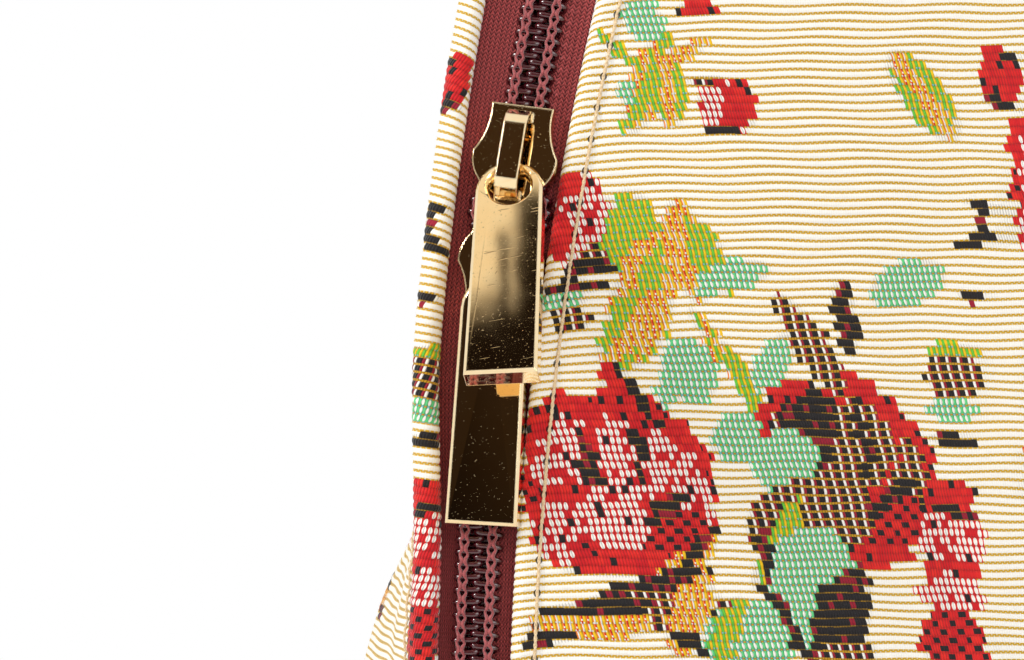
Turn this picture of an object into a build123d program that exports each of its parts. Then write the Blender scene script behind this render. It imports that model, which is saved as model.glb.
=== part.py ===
# Carpet bag: a tapestry holdall with a two-slider coil zip that runs up one end,
# over the arched top and down the other end.
# Millimetres, +Z up, X along the bag, the front faces -Y, the origin is under the middle of the base.
import os
from math import asin, atan2, cos, degrees, hypot, radians, sin, sqrt
from build123d import *

# Arch that the zip follows, in the XZ plane: a large arc up each end and a smaller one over the top
side_radius = 300.0
side_centre_x = 80.0
side_centre_z = 90.0
side_lean_top = 30.0
zip_end_height = 42.0

# Body of the bag
half_depth = 90.0
depth_reach = 215.0
face_share = 0.96
depth_steps = 6
corner_reach = 75.0
corner_power = 3.0
flare_height = 120.0
flare_knee = 62.0
wall = 1.8
base_thickness = 3.0
board_thickness = 2.0
board_gap = 4.0
seat_gap = 0.3

# Zip, in its own cross-section: b runs towards the back panel, q outwards
zip_turn = 30.0
front_slope = 20.0
tape_thickness = 0.6
tape_sewn = 7.0
coil_half_width = 2.9
coil_height = 1.8
coil_middle_gap = 0.3
front_fold = 5.4
front_roll = 1.0
front_fold_radius = 0.7
back_fold = 6.6
back_roll = 1.5
roll_sink = 0.25
rim_share = -0.01
end_tab_thickness = 1.6

# Sliders, from the wide rear end at 0 to the rounded nose
slider_length = 12.0
slider_rear_half = 3.7
slider_waist_at = 3.6
slider_waist_half = 3.95
slider_wide_at = 5.9
slider_half_width = 5.0
slider_shoulder_at = 9.3
slider_shoulder_half = 3.8
slider_plate = 0.9
slider_shoulder_dip = 0.2
run_gap = 0.3
post_half_width = 1.3
post_start = 7.4
post_end = 11.4
post_taper = 0.6
mouth_half_width = 4.4
mouth_start = 4.5
nose_lean = 12.6
nose_gap = 0.5

# Bridge that holds the pull to its slider
bridge_width = 2.7
bridge_start = 0.9
bridge_end = 11.2
bridge_strap = 0.9
bridge_window = 2.4
bridge_leg = 1.0
bridge_bend = 1.9

# Pulls: a bar with a round hole at its hung end and a hollow back
pull_length = 28.7
pull_half_width = 4.2
pull_neck_half_width = 3.9
pull_thickness = 2.7
ring_thickness = 1.5
ring_bar = 0.9
ring_hole = 5.0
recess_half_width = 3.05
recess_floor = 0.25
recess_end_wall = 3.0
recess_start = 4.2
pull_bevel = 0.35
upper_bar_at = 7.7
upper_pull_tilt = 22.5
upper_pull_swing = 10.5
lower_bar_at = 3.9
lower_pull_tilt = -1.4
lower_pull_swing = 2.5

# Handles and the patches that hold them
handle_radius = 5.5
handle_spread = 75.0
handle_top_spread = 58.0
handle_rise = 225.0
handle_bend = 52.0
handle_foot_height = 205.0
handle_slope = 16.0
patch_width = 26.0
patch_height = 62.0
patch_thickness = 2.0
patch_corner = 7.0
patch_below_foot = 10.0

os.makedirs("parts", exist_ok=True)

# What follows from the sizes above
top_radius = side_radius - side_centre_x / cos(radians(side_lean_top))
top_centre_z = side_centre_z + (side_radius - top_radius) * sin(radians(side_lean_top))
zip_end_lean = degrees(asin((zip_end_height - side_centre_z) / side_radius))
tape_top = tape_thickness / 2
coil_top = tape_top + coil_height
plate_under = coil_top + run_gap
plate_top = plate_under + slider_plate
plate_below = -tape_top - run_gap
window_top = plate_top + bridge_window
bridge_top = window_top + bridge_strap
pull_axis = plate_top + bridge_window / 2
slot_top = tape_top + run_gap
channel_half = coil_half_width + run_gap
tape_inner = post_half_width + 2 * run_gap
turn = radians(zip_turn)
front_angle = radians(front_slope)
back_angle = radians(180.0 - 2 * (90.0 - zip_turn) + front_slope)


def arch_point(b, q):
    """A point of the zip's cross-section as (outwards from the arch, along +Y)."""
    return b * sin(turn) + q * cos(turn), b * cos(turn) - q * sin(turn)


def zip_plane(lean, nose):
    """The plane of the zip at a lean of the left arc. X runs towards a slider's nose: 1 up, -1 down."""
    angle = radians(lean)
    outward = Vector(-cos(angle), 0, sin(angle))
    upward = Vector(sin(angle), 0, cos(angle))
    origin = Vector(side_centre_x, 0, side_centre_z) + outward * side_radius
    normal = outward * cos(turn) + Vector(0, -sin(turn), 0)
    return Plane(origin=origin, x_dir=upward * nose, z_dir=normal)


def zip_section(lean):
    """The plane across the zip at a lean of the left arc, with X as b and Y as q."""
    along = zip_plane(lean, 1)
    return Plane(origin=along.origin, x_dir=along.y_dir, z_dir=along.x_dir)


def arch_line(start_lean, whole):
    """The arch in the XZ plane, from a lean of the left arc up to its top, or right over to the same lean."""
    with BuildLine(Plane.XZ) as line:
        CenterArc((side_centre_x, side_centre_z), side_radius, 180 - start_lean, start_lean - side_lean_top)
        if whole:
            CenterArc((0, top_centre_z), top_radius, 180 - side_lean_top, 2 * side_lean_top - 180)
            CenterArc((-side_centre_x, side_centre_z), side_radius, side_lean_top, start_lean - side_lean_top)
    return line.wire()


front_seam = (-front_fold - front_roll, tape_top + run_gap + front_roll)
back_seam = (back_fold + back_roll, tape_top + run_gap + back_roll)
front_edge = arch_point(
    front_seam[0] - front_roll * sin(front_angle),
    front_seam[1] + front_roll * cos(front_angle),
)
back_edge = arch_point(
    back_seam[0] + back_roll * sin(back_angle),
    back_seam[1] + back_roll * cos(back_angle),
)


def side_x(radius, height):
    """How far left of the middle an arc about the side centre stands at a height."""
    return sqrt(radius**2 - (height - side_centre_z) ** 2) - side_centre_x


def contour_size(edge, share, grow):
    """Radial inset, base half-width and depth of the contour at a share of the bag's depth."""
    slope = 2 * half_depth / depth_reach * sqrt(1 - share)
    length = sqrt(1 + slope**2)
    inset = depth_reach * (1 - sqrt(1 - share)) - edge[0] - grow * slope / length
    corner = corner_reach * (1 - max(1 - share, 0) ** (1 / corner_power)) if share > 0 else 0
    corner_slope = min(1.0, 4 * (1 - max(share, 0)))
    base_half = side_x(side_radius + edge[0], base_thickness) - corner + grow * corner_slope
    depth = abs(edge[1]) + half_depth * share + grow / length
    return inset, base_half, depth


def half_form(side, edge, grow=0.0, first=rim_share, floor=base_thickness):
    """One half of the bag's rounded body, from its rim at the zip out to its face."""
    with BuildPart() as form:
        for step in range(depth_steps + 1):
            reach = 1 - sqrt(1 - face_share)
            share = 1 - (1 - reach * step / depth_steps) ** 2 if step else first
            inset, base_half, depth = contour_size(edge, share, grow)
            low = side_radius - inset
            low_lean = asin((flare_height - side_centre_z) / low)
            left = Vector(side_centre_x - low * cos(low_lean), flare_height)
            knee = Vector(left.X - (flare_height - flare_knee) * sin(low_lean) / cos(low_lean), flare_knee)
            foot = Vector(-base_half, floor)
            lean = degrees(low_lean)
            with BuildSketch(Plane.XZ.offset(-side * depth)):
                with BuildLine():
                    Line(foot, Vector(-foot.X, floor))
                    Bezier(Vector(-foot.X, floor), Vector(-knee.X, flare_knee), Vector(-left.X, flare_height))
                    CenterArc((-side_centre_x, side_centre_z), low, lean, side_lean_top - lean)
                    CenterArc((0, top_centre_z), top_radius - inset, side_lean_top, 180 - 2 * side_lean_top)
                    CenterArc((side_centre_x, side_centre_z), low, 180 - side_lean_top, side_lean_top - lean)
                    Bezier(left, knee, foot)
                make_face()
        loft()
    return form.part


def panel_shell(side, edge):
    """A body panel: a thin shell, open to the zip and to the base."""
    with BuildPart() as shell:
        add(half_form(side, edge))
        add(half_form(side, edge, -wall, 10 * rim_share, base_thickness - wall), mode=Mode.SUBTRACT)
    return shell.part


def tape(side, inner, bend, slope):
    """One half of the zip's woven tape, flat beside the coil and then turned in behind its panel."""
    drop = Vector(side * cos(slope), -sin(slope)) * tape_sewn
    with BuildPart() as band:
        with BuildSketch(zip_section(zip_end_lean)):
            with BuildLine():
                Polyline((side * inner, 0), (side * bend, 0), (side * bend + drop.X, drop.Y))
            trace(line_width=tape_thickness)
        sweep(path=arch_line(zip_end_lean, True))
    return band.part


def post_outline(grow):
    """The wedge between the two rows of the chain, pointed towards the rear of the slider."""
    with BuildSketch() as outline:
        with BuildLine():
            Polyline(
                (post_start - grow, 0),
                ((post_start + post_end) / 2, post_half_width + grow),
                (post_end + grow, post_half_width * post_taper + grow),
                (post_end + grow, -post_half_width * post_taper - grow),
                ((post_start + post_end) / 2, -post_half_width - grow),
                close=True,
            )
        make_face()
    return outline.sketch


def slider_outline():
    """A slider seen from outside: waisted flanks, wide shoulders and a rounded nose."""
    with BuildSketch() as outline:
        with BuildLine():
            Line((0, -slider_rear_half), (0, slider_rear_half))
            for half in (1, -1):
                ThreePointArc(
                    (0, half * slider_rear_half),
                    (slider_waist_at, half * slider_waist_half),
                    (slider_wide_at, half * slider_half_width),
                )
                ThreePointArc(
                    (slider_wide_at, half * slider_half_width),
                    ((slider_wide_at + slider_shoulder_at) / 2, half * (slider_half_width - slider_shoulder_dip)),
                    (slider_shoulder_at, half * slider_shoulder_half),
                )
            ThreePointArc(
                (slider_shoulder_at, slider_shoulder_half),
                (slider_length, 0),
                (slider_shoulder_at, -slider_shoulder_half),
            )
        make_face()
    return outline.sketch


def slider_channel():
    """The room for the two rows of the chain, which part towards the nose."""
    with BuildSketch() as outline:
        with BuildLine():
            Polyline(
                (-run_gap, channel_half),
                (mouth_start, channel_half),
                (slider_shoulder_at, mouth_half_width),
                (slider_length + run_gap, mouth_half_width),
                (slider_length + run_gap, -mouth_half_width),
                (slider_shoulder_at, -mouth_half_width),
                (mouth_start, -channel_half),
                (-run_gap, -channel_half),
                close=True,
            )
        make_face()
    return outline.sketch


def slider(plane):
    """A cast slider: two plates joined by the post, side flanges and the bridge for the pull."""
    side_plane = Plane(origin=plane.origin, x_dir=plane.x_dir, z_dir=-plane.y_dir)
    outline = slider_outline()
    room = slider_channel()
    wedge = post_outline(0)
    with BuildPart() as body:
        with BuildSketch(plane.offset(plate_below - slider_plate)):
            add(outline)
        extrude(amount=slider_plate)
        with BuildSketch(plane.offset(slot_top)):
            add(outline)
        extrude(amount=plate_top - slot_top)
        with BuildSketch(plane.offset(slot_top)):
            add(room)
        extrude(amount=plate_under - slot_top, mode=Mode.SUBTRACT)
        with BuildSketch(plane.offset(plate_below)):
            add(wedge)
        extrude(amount=plate_under - plate_below)
        with BuildSketch(side_plane):
            with BuildLine():
                Polyline(
                    (bridge_start, plate_top),
                    (bridge_start, bridge_top - bridge_bend),
                    (bridge_start + bridge_bend * 0.4, bridge_top - bridge_bend * 0.35),
                    (bridge_start + bridge_bend, bridge_top),
                    (bridge_end - bridge_bend, bridge_top),
                    (bridge_end - bridge_bend * 0.4, bridge_top - bridge_bend * 0.35),
                    (bridge_end, bridge_top - bridge_bend),
                    (bridge_end, plate_top),
                    close=True,
                )
            make_face()
        extrude(amount=bridge_width / 2, both=True)
        with BuildSketch(side_plane):
            with BuildLine():
                FilletPolyline(
                    (bridge_start + bridge_leg, plate_top),
                    (bridge_start + bridge_leg, window_top),
                    (bridge_end - bridge_leg, window_top),
                    (bridge_end - bridge_leg, plate_top),
                    radius=bridge_bend / 2,
                )
                Line((bridge_end - bridge_leg, plate_top), (bridge_start + bridge_leg, plate_top))
            make_face()
        extrude(amount=bridge_width, both=True, mode=Mode.SUBTRACT)
    return body.part


def pull(plane):
    """A pull, from its hinge line along X, with its face outwards: ring, bar, bevels and hollow back."""
    outward = Axis(plane.origin, plane.z_dir)
    ring_end = -ring_bar / 2
    far_end = pull_length + ring_end
    hole_at = ring_bar / 2 + ring_hole / 2
    round_at = ring_end + pull_neck_half_width
    flank = far_end - round_at
    splay = atan2(pull_half_width, flank) - asin(pull_neck_half_width / hypot(flank, pull_half_width))
    neck = Vector(round_at - pull_neck_half_width * sin(splay), pull_neck_half_width * cos(splay))
    with BuildPart() as bar:
        with BuildSketch(plane.offset(-ring_thickness / 2)):
            with BuildLine():
                ThreePointArc((neck.X, -neck.Y), (ring_end, 0), (neck.X, neck.Y))
                Line((neck.X, neck.Y), (far_end, pull_half_width))
                Line((far_end, pull_half_width), (far_end, -pull_half_width))
                Line((far_end, -pull_half_width), (neck.X, -neck.Y))
            make_face()
        extrude(amount=ring_thickness)
        with BuildSketch(plane.offset(-ring_thickness / 2)):
            with BuildLine():
                Polyline(
                    (recess_start, neck.Y),
                    (far_end, pull_half_width),
                    (far_end, -pull_half_width),
                    (recess_start, -neck.Y),
                    close=True,
                )
            make_face()
        extrude(amount=-(pull_thickness - ring_thickness))
        face = bar.faces().filter_by(outward).sort_by(outward)[-1]
        chamfer(face.edges(), pull_bevel)
        with BuildSketch(plane.offset(-pull_thickness)):
            with BuildLine():
                Polyline(
                    (recess_start - run_gap, recess_half_width),
                    (far_end - recess_end_wall, recess_half_width),
                    (far_end - recess_end_wall, -recess_half_width),
                    (recess_start - run_gap, -recess_half_width),
                    close=True,
                )
            make_face()
        extrude(amount=pull_thickness - recess_floor, mode=Mode.SUBTRACT)
        with BuildSketch(plane.offset(-pull_thickness)):
            with Locations((hole_at, 0)):
                Circle(ring_hole / 2)
        extrude(amount=2 * pull_thickness, mode=Mode.SUBTRACT)
        circles = bar.edges().filter_by(GeomType.CIRCLE)
        rims = circles.filter_by(lambda edge: abs(edge.radius - ring_hole / 2) < 0.01)
        chamfer(rims.sort_by(outward)[-1], pull_bevel)
    return bar.part


def pull_plane(slider_frame, bar_at, tilt, swing, way):
    """The plane of a pull hung at bar_at. It points to the nose for way 1 and to the rear for way -1.
    The ring is loose on its bridge, so a pull that hangs down swings out of line with its slider."""
    hinge = slider_frame.origin + slider_frame.x_dir * bar_at + slider_frame.z_dir * pull_axis
    angle = radians(tilt)
    turned = radians(swing)
    pointing = (slider_frame.x_dir * cos(turned) + slider_frame.y_dir * sin(turned)) * way
    along = pointing * cos(angle) + slider_frame.z_dir * sin(angle)
    face = slider_frame.z_dir * cos(angle) - pointing * sin(angle)
    return Plane(origin=hinge, x_dir=along, z_dir=face)


def base_outline(grow):
    """The bag's footprint, from the same contours as the panels."""
    corner = []
    for side, edge in ((-1, front_edge), (1, back_edge)):
        run = []
        for step in range(depth_steps + 1):
            reach = 1 - (1 - face_share) ** (1 / corner_power)
            share = 1 - (1 - reach * step / depth_steps) ** corner_power
            inset, base_half, depth = contour_size(edge, share, grow)
            run.append((base_half, side * depth))
        corner.append(run)
    front, back = corner
    with BuildSketch() as outline:
        with BuildLine():
            Spline(*front)
            Line(front[-1], (-front[-1][0], front[-1][1]))
            Spline(*[(-x, y) for x, y in front])
            Line((-front[0][0], front[0][1]), (-back[0][0], back[0][1]))
            Spline(*[(-x, y) for x, y in back])
            Line((-back[-1][0], back[-1][1]), back[-1])
            Spline(*back)
            Line(back[0], front[0])
        make_face()
    return outline.sketch


def handle(side, edge):
    """A rolled carrying handle that rises from two patches and leans towards the zip."""
    drop = top_radius + edge[0] - hypot(handle_spread, handle_foot_height - top_centre_z)
    share = 1 - (1 - drop / depth_reach) ** 2
    lean = radians(handle_slope)
    stand = patch_thickness + 2 * seat_gap + handle_radius
    steepness = 2 * half_depth / depth_reach * sqrt(1 - share)
    foot_depth = abs(edge[1]) + half_depth * share + stand * sqrt(1 + steepness**2)
    plane = Plane(
        origin=(0, side * foot_depth, handle_foot_height),
        x_dir=(1, 0, 0),
        z_dir=(0, -cos(lean), -side * sin(lean)),
    )
    with BuildPart() as rope:
        with BuildLine(plane) as path:
            FilletPolyline(
                (-handle_spread, 0),
                (-handle_top_spread, handle_rise),
                (handle_top_spread, handle_rise),
                (handle_spread, 0),
                radius=handle_bend,
            )
        start = path.wire() @ 0
        with BuildSketch(Plane(origin=start, z_dir=path.wire() % 0)):
            Circle(handle_radius)
        sweep(path=path.wire())
    return rope.part


def patch(side, edge, end):
    """The patch that one handle end is sewn to, lying on its panel."""
    with BuildPart() as plate:
        add(half_form(side, edge, seat_gap + patch_thickness))
        add(half_form(side, edge, seat_gap, 10 * rim_share, base_thickness - wall), mode=Mode.SUBTRACT)
        with BuildSketch(Plane.XZ):
            with Locations((end * handle_spread, handle_foot_height - patch_below_foot + patch_height / 2)):
                RectangleRounded(patch_width, patch_height, patch_corner)
        extrude(amount=-side * 2 * half_depth, mode=Mode.INTERSECT)
    return plate.part


# Soft body
with BuildPart() as front_panel:
    add(panel_shell(-1, front_edge))
    rim = front_panel.faces().filter_by(Plane.XZ).sort_by(Axis.Y)[-1]
    fillet(rim.outer_wire().edges(), front_fold_radius)

with BuildPart() as back_panel:
    add(panel_shell(1, back_edge))
    hem_lean = degrees(asin((base_thickness + 2 * back_roll - side_centre_z) / side_radius))
    with BuildSketch(zip_section(hem_lean)):
        with Locations(back_seam):
            Circle(back_roll - roll_sink)
    sweep(path=arch_line(hem_lean, True))

with BuildPart() as base_panel:
    with BuildSketch():
        add(base_outline(0))
    extrude(amount=base_thickness)

with BuildPart() as base_board:
    with BuildSketch(Plane.XY.offset(base_thickness)):
        add(base_outline(-wall - board_gap))
    extrude(amount=board_thickness)

# Zip
with BuildPart() as zip_tape_front:
    add(tape(-1, tape_inner, front_fold + front_roll, front_angle))

with BuildPart() as zip_tape_back:
    add(tape(1, tape_inner, back_fold + back_roll / 2, back_angle))

upper_frame = zip_plane(nose_lean + degrees((slider_length + nose_gap / 2) / side_radius), -1)
lower_frame = zip_plane(nose_lean - degrees((slider_length + nose_gap / 2) / side_radius), 1)


def coil(side):
    """One row of the chain, narrowed where a slider's post stands between the rows."""
    wedge = post_outline(run_gap)
    with BuildPart() as row:
        with BuildSketch(zip_section(zip_end_lean)):
            with Locations((side * (coil_half_width + coil_middle_gap / 2) / 2, tape_top + coil_height / 2)):
                RectangleRounded(coil_half_width - coil_middle_gap / 2, coil_height, coil_height * 0.4)
        sweep(path=arch_line(zip_end_lean, True))
        for frame in (upper_frame, lower_frame):
            with BuildSketch(frame):
                add(wedge)
            extrude(amount=plate_top, mode=Mode.SUBTRACT)
    return row.part


with BuildPart() as zip_coil_front:
    add(coil(-1))

with BuildPart() as zip_coil_back:
    add(coil(1))

with BuildPart() as slider_upper:
    add(slider(upper_frame))

with BuildPart() as slider_lower:
    add(slider(lower_frame))

with BuildPart() as pull_upper:
    add(pull(pull_plane(upper_frame, upper_bar_at, upper_pull_tilt, upper_pull_swing, 1)))

with BuildPart() as pull_lower:
    add(pull(pull_plane(lower_frame, lower_bar_at, lower_pull_tilt, lower_pull_swing, -1)))

tab_reach = back_fold * sin(turn) + end_tab_thickness
tab_foot = base_thickness + seat_gap + tab_reach * side_centre_z / side_radius
tab_start = degrees(asin((tab_foot - side_centre_z) / side_radius))
tab_stop = zip_end_lean - degrees(run_gap / side_radius)


def end_tab(end):
    """The cloth tab that closes the body below one end of the zip."""
    with BuildPart() as tab:
        with BuildSketch(zip_section(tab_stop)):
            with Locations(((back_fold - front_fold) / 2, 0)):
                Rectangle(front_fold + back_fold - 2 * seat_gap, end_tab_thickness)
        revolve(
            axis=Axis((side_centre_x, 0, side_centre_z), (0, 1, 0)),
            revolution_arc=tab_start - tab_stop,
        )
        if end > 0:
            mirror(about=Plane.YZ, mode=Mode.REPLACE)
    return tab.part


with BuildPart() as zip_end_tab_left:
    add(end_tab(-1))

with BuildPart() as zip_end_tab_right:
    add(end_tab(1))

# Handles
with BuildPart() as front_handle:
    add(handle(-1, front_edge))

with BuildPart() as back_handle:
    add(handle(1, back_edge))

with BuildPart() as front_patch_left:
    add(patch(-1, front_edge, -1))

with BuildPart() as front_patch_right:
    add(patch(-1, front_edge, 1))

with BuildPart() as back_patch_left:
    add(patch(1, back_edge, -1))

with BuildPart() as back_patch_right:
    add(patch(1, back_edge, 1))

pieces = {
    "front_panel": front_panel,
    "back_panel": back_panel,
    "base_panel": base_panel,
    "base_board": base_board,
    "zip_tape_front": zip_tape_front,
    "zip_tape_back": zip_tape_back,
    "zip_coil_front": zip_coil_front,
    "zip_coil_back": zip_coil_back,
    "zip_end_tab_left": zip_end_tab_left,
    "zip_end_tab_right": zip_end_tab_right,
    "slider_upper": slider_upper,
    "slider_lower": slider_lower,
    "pull_upper": pull_upper,
    "pull_lower": pull_lower,
    "front_handle": front_handle,
    "back_handle": back_handle,
    "front_patch_left": front_patch_left,
    "front_patch_right": front_patch_right,
    "back_patch_left": back_patch_left,
    "back_patch_right": back_patch_right,
}
for name, piece in pieces.items():
    piece.part.label = name
    export_step(piece.part, f"parts/{name}.step")
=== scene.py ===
import math

import bpy
import numpy as np
from mathutils import Matrix, Quaternion, Vector
from mathutils.bvhtree import BVHTree


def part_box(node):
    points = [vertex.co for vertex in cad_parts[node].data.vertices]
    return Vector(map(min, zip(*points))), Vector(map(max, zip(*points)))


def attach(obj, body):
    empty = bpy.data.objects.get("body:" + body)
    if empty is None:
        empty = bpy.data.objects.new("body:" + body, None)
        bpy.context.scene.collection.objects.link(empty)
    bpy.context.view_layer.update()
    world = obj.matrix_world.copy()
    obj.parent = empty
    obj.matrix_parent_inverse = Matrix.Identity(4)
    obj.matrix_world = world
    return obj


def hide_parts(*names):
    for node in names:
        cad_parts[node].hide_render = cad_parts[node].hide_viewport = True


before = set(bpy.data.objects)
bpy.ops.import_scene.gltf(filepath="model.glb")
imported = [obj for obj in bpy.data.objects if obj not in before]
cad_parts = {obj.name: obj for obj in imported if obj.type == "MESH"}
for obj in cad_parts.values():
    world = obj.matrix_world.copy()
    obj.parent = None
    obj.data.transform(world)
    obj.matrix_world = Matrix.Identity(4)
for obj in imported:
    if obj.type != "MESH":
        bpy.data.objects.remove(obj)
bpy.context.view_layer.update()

mm = 0.001

# The arch that the zip follows
side_radius = 0.300
side_centre_x = 0.080
side_centre_z = 0.090
side_lean_top = math.radians(30)
zip_end_height = 0.042
top_radius = side_radius - side_centre_x / math.cos(side_lean_top)
top_centre_z = side_centre_z + (side_radius - top_radius) * math.sin(side_lean_top)
end_lean = math.asin((zip_end_height - side_centre_z) / side_radius)
side_run = side_radius * (side_lean_top - end_lean)
zip_run = 2 * side_run + 2 * top_radius * (math.pi / 2 - side_lean_top)

# The soft body
half_depth = 0.090
depth_reach = 0.215
face_share = 0.96
corner_reach = 0.075
corner_power = 3
flare_height = 0.120
flare_knee = 0.062
base_thickness = 0.003

# The zip's cross-section: b runs towards the back panel, q outwards
zip_turn = math.radians(30)
tape_top = 0.0003
coil_half_width = 0.0029
coil_height = 0.0018
nose_lean = math.radians(12.6)
nose_run = side_radius * (nose_lean - end_lean)
front_seam = (-0.0064, 0.0016)
back_seam = (0.0081, 0.0021)
front_roll = 0.0010
back_roll = 0.0015
front_edge_angle = math.radians(110)
back_edge_angle = math.radians(10)

# The view, in the photograph's 1024 x 660 frame
frame_width_px = 1024
frame_height_px = 660
view_azimuth = math.radians(-50)
view_elevation = math.radians(3)
view_roll = math.radians(-0.4)
view_distance = 0.45
pixels_per_metre = 8600
sensor_width = 36.0
aim_height = 0.142
aim_column_px = 498
aim_row_px = 330

# Cloth sizes
rib_pitch = 0.93
yarn_pitch = 0.345
rib_height = 0.17 * mm
front_stitch_line = 3.4 * mm
back_stitch_line = 8.0 * mm
stitch_pitch_mm = 3.8
stitch_pitch = stitch_pitch_mm * mm
wave_centre = (0, 0, 0.12)

# How the cloth lies: its lean against the rim, the hem's droop and the flat face that closes each panel
cloth_lean = 0.058
hem_droop = 0.9 * mm
hem_droop_reach = 3 * mm
spread_share = 0.7
spread_inset = 0.172
closing_run = 0.2
closing_bulge = 3.5 * mm
hidden_hem = 0.8 * mm

# Heights and runs between which the panels are finely divided, because the camera is near
near_low = 0.097
near_high = 0.188
near_run = 0.052
near_row = 0.155 * mm
rib_low = (0.092, 0.099)
rib_high = (0.186, 0.190)
rib_end = (0.040, 0.050)


def rgb(red, green, blue):
    """A colour written as it looks on a screen, 0 to 255, as the linear colour that a shader takes."""
    channels = [c / 255 for c in (red, green, blue)]
    return tuple(((c + 0.055) / 1.055) ** 2.4 if c > 0.04 else c / 12.92 for c in channels) + (1.0,)


def smooth(x, low, high):
    """0 below low, 1 above high, and a smooth step between them."""
    share = np.clip((np.asarray(x, float) - low) / (high - low), 0, 1)
    return share * share * (3 - 2 * share)


def unit(vectors):
    return vectors / np.maximum(np.linalg.norm(vectors, axis=-1, keepdims=True), 1e-12)


def squared(value, power):
    """Bends a sine or cosine towards a square wave."""
    return np.sign(value) * np.abs(value) ** power


def lengths_along(path):
    """Distance of each point of a path from its first point."""
    return np.concatenate([[0], np.cumsum(np.linalg.norm(np.diff(path, axis=0), axis=1))])


def at_lengths(places, lengths, path):
    """Points of a path, or of anything that goes with it, at distances along it."""
    return np.stack([np.interp(places, lengths, path[:, axis]) for axis in range(3)], -1)


# Geometry of the arch and the body
def arch_at(run):
    """Point, outward and forward directions of the arch at distances run from its left end."""
    run = np.asarray(run, float)
    near = np.minimum(run, zip_run - run)
    sign = np.where(run > zip_run / 2, -1.0, 1.0)
    on_side = near < side_run
    top_lean = side_lean_top + (near - side_run) / top_radius
    lean = np.where(on_side, end_lean + near / side_radius, top_lean)
    radius = np.where(on_side, side_radius, top_radius)
    centre_x = np.where(on_side, side_centre_x, 0.0)
    centre_z = np.where(on_side, side_centre_z, top_centre_z)
    zero = np.zeros_like(lean)
    outward = np.stack([-sign * np.cos(lean), zero, np.sin(lean)], -1)
    forward = np.stack([np.sin(lean), zero, sign * np.cos(lean)], -1)
    point = np.stack([sign * centre_x, zero, centre_z], -1) + radius[..., None] * outward
    return point, outward, forward


def zip_ways(outward):
    """The zip's own directions, across it towards the back panel and out of it."""
    across = outward * math.sin(zip_turn) + np.array([0, math.cos(zip_turn), 0])
    normal = outward * math.cos(zip_turn) - np.array([0, math.sin(zip_turn), 0])
    return across, normal


def zip_point(run, b, q):
    """A point of the zip: run along it, b across it towards the back panel, q outwards."""
    point, outward, forward = arch_at(run)
    across, normal = zip_ways(outward)
    return point + across * np.asarray(b, float)[..., None] + normal * np.asarray(q, float)[..., None]


def section_point(b, q):
    """A point of the zip's cross-section as (outwards from the arch, along +Y)."""
    turned_out = b * math.sin(zip_turn) + q * math.cos(zip_turn)
    return turned_out, b * math.cos(zip_turn) - q * math.sin(zip_turn)


class Side:
    """One body panel: its side of the bag, the roll at its rim and the way its section turns."""

    def __init__(self, name, sign, seam, roll, edge_angle, crest_angle, under_angle, stitch_line):
        self.name, self.sign, self.seam, self.roll = name, sign, seam, roll
        self.edge_angle, self.crest_angle, self.stitch_line = edge_angle, crest_angle, stitch_line
        edge_b = seam[0] + roll * math.cos(edge_angle)
        self.edge = section_point(edge_b, seam[1] + roll * math.sin(edge_angle))
        self.edge_run = roll * abs(edge_angle - crest_angle)
        self.under_run = roll * abs(under_angle - crest_angle)
        shares = np.linspace(0, face_share, 400)
        inset = depth_reach * (1 - np.sqrt(1 - shares))
        self.share_table = shares
        self.run_table = self.edge_run + lengths_along(np.stack([inset, shares * half_depth], -1))
        self.face_run = self.run_table[-1]


front = Side("front", -1, front_seam, front_roll, front_edge_angle, 0.0, -math.pi / 2, front_stitch_line)
back = Side("back", 1, back_seam, back_roll, back_edge_angle, math.pi, 1.5 * math.pi, back_stitch_line)


def contour(side, share, t):
    """A point (x, z) of the body's contour at a share of its depth. t is 0 at the left foot, 1 at the top of
    the flare, 2 at the end of the side arc, 3 at the top of the bag and 6 at the right foot."""
    near = np.minimum(t, 6 - t)
    inset = depth_reach * (1 - np.sqrt(1 - share)) - side.edge[0]
    corner = corner_reach * (1 - (1 - share) ** (1 / corner_power))
    foot_radius = side_radius + side.edge[0]
    base_half = math.sqrt(foot_radius**2 - (base_thickness - side_centre_z) ** 2) - side_centre_x - corner
    low = side_radius - inset
    low_lean = np.arcsin((flare_height - side_centre_z) / low)
    left_x = side_centre_x - low * np.cos(low_lean)
    knee_x = left_x - (flare_height - flare_knee) * np.tan(low_lean)
    tau = np.clip(near, 0, 1)
    flare_x = -((1 - tau) ** 2) * base_half + 2 * tau * (1 - tau) * knee_x + tau**2 * left_x
    flare_z = (1 - tau) ** 2 * base_thickness + 2 * tau * (1 - tau) * flare_knee + tau**2 * flare_height
    lean = low_lean + np.clip(near - 1, 0, 1) * (side_lean_top - low_lean)
    side_x = side_centre_x - low * np.cos(lean)
    side_z = side_centre_z + low * np.sin(lean)
    top_lean = side_lean_top + np.clip(near - 2, 0, 1) * (math.pi / 2 - side_lean_top)
    top_x = -(top_radius - inset) * np.cos(top_lean)
    top_z = top_centre_z + (top_radius - inset) * np.sin(top_lean)
    x = np.where(near < 1, flare_x, np.where(near < 2, side_x, top_x))
    z = np.where(near < 1, flare_z, np.where(near < 2, side_z, top_z))
    return np.where(t > 3, -x, x), z


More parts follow.
